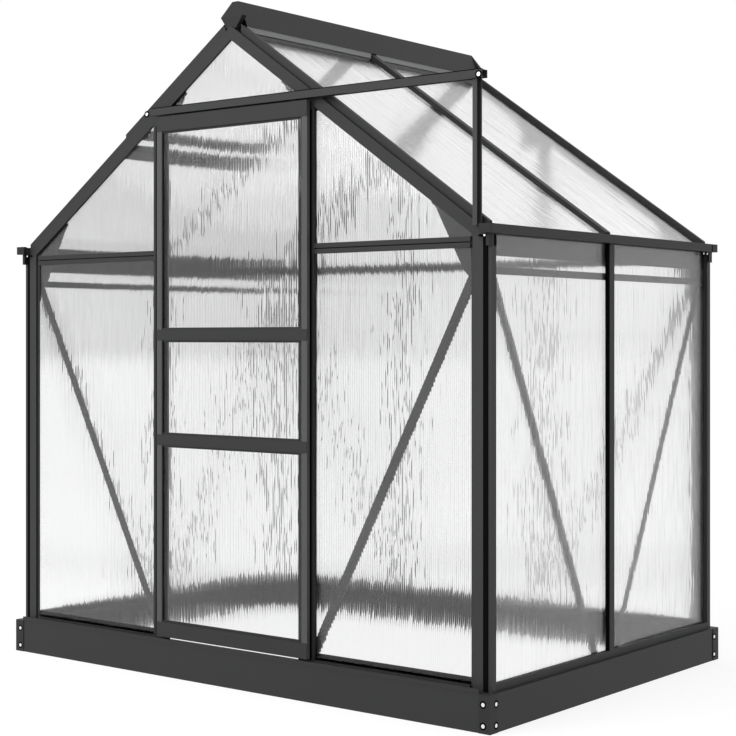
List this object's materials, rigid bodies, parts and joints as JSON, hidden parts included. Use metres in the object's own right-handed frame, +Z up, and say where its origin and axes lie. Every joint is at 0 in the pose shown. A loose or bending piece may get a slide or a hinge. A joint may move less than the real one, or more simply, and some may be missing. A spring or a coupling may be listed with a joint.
{
  "type": "polycarbonate greenhouse",
  "caption": "Small walk-in greenhouse with a gable roof, dark aluminium bars, twin-wall sheets, a roof vent and a sliding front door.",
  "frame": {"origin": "middle of the bounding box, on the ground under the base", "axes": "+X to the right along the door gable, +Y from the door gable to the back, +Z up"},
  "size_m": [1.9, 1.312, 2.0448],
  "materials": {
    "frame_bars": "matt charcoal powder coat on extruded aluminium",
    "base_steel": "matt charcoal powder coat on folded steel",
    "end_caps": "matt charcoal moulded plastic",
    "roller_plastic": "dark nylon",
    "twin_wall_sheet": "clear ribbed twin-wall polycarbonate"
  },
  "bodies": {
    "greenhouse": {"base_front_rail": "base_steel", "base_back_rail": "base_steel", "base_side_rails": "base_steel", "base_corner_plates": "base_steel", "front_sill": "frame_bars", "back_sill": "frame_bars", "side_sills": "frame_bars", "corner_posts": "frame_bars", "side_posts": "frame_bars", "door_posts": "frame_bars", "back_posts": "frame_bars", "front_ties": "frame_bars", "back_ties": "frame_bars", "door_header": "frame_bars", "gutter_beam_right": "frame_bars", "gutter_beam_left": "frame_bars", "gutter_ends": "end_caps", "side_rails": "frame_bars", "gable_rafters_right": "frame_bars", "gable_rafters_left": "frame_bars", "middle_rafters": "frame_bars", "ridge_beam": "frame_bars", "ridge_cap": "frame_bars", "ridge_ends": "end_caps", "gussets": "frame_bars", "gable_braces": "frame_bars", "side_braces": "frame_bars", "door_track": "frame_bars", "track_prop": "frame_bars", "gable_sheets_front": "twin_wall_sheet", "gable_sheets_back": "twin_wall_sheet", "side_sheets": "twin_wall_sheet", "roof_sheets_right": "twin_wall_sheet", "roof_sheets_left": "twin_wall_sheet", "vent_purlin": "frame_bars", "vent_frame": "frame_bars", "vent_sheet": "twin_wall_sheet"},
    "sliding_door": {"door_stiles": "frame_bars", "door_top_rail": "frame_bars", "door_mid_rails": "frame_bars", "door_bottom_rail": "frame_bars", "door_sheets": "twin_wall_sheet", "door_rollers": "roller_plastic"}
  },
  "joints": [
    {"name": "door_slide", "type": "slide", "parent": "greenhouse", "child": "sliding_door", "axis": [1, 0, 0], "range_m": [0, 0.555]}
  ]
}
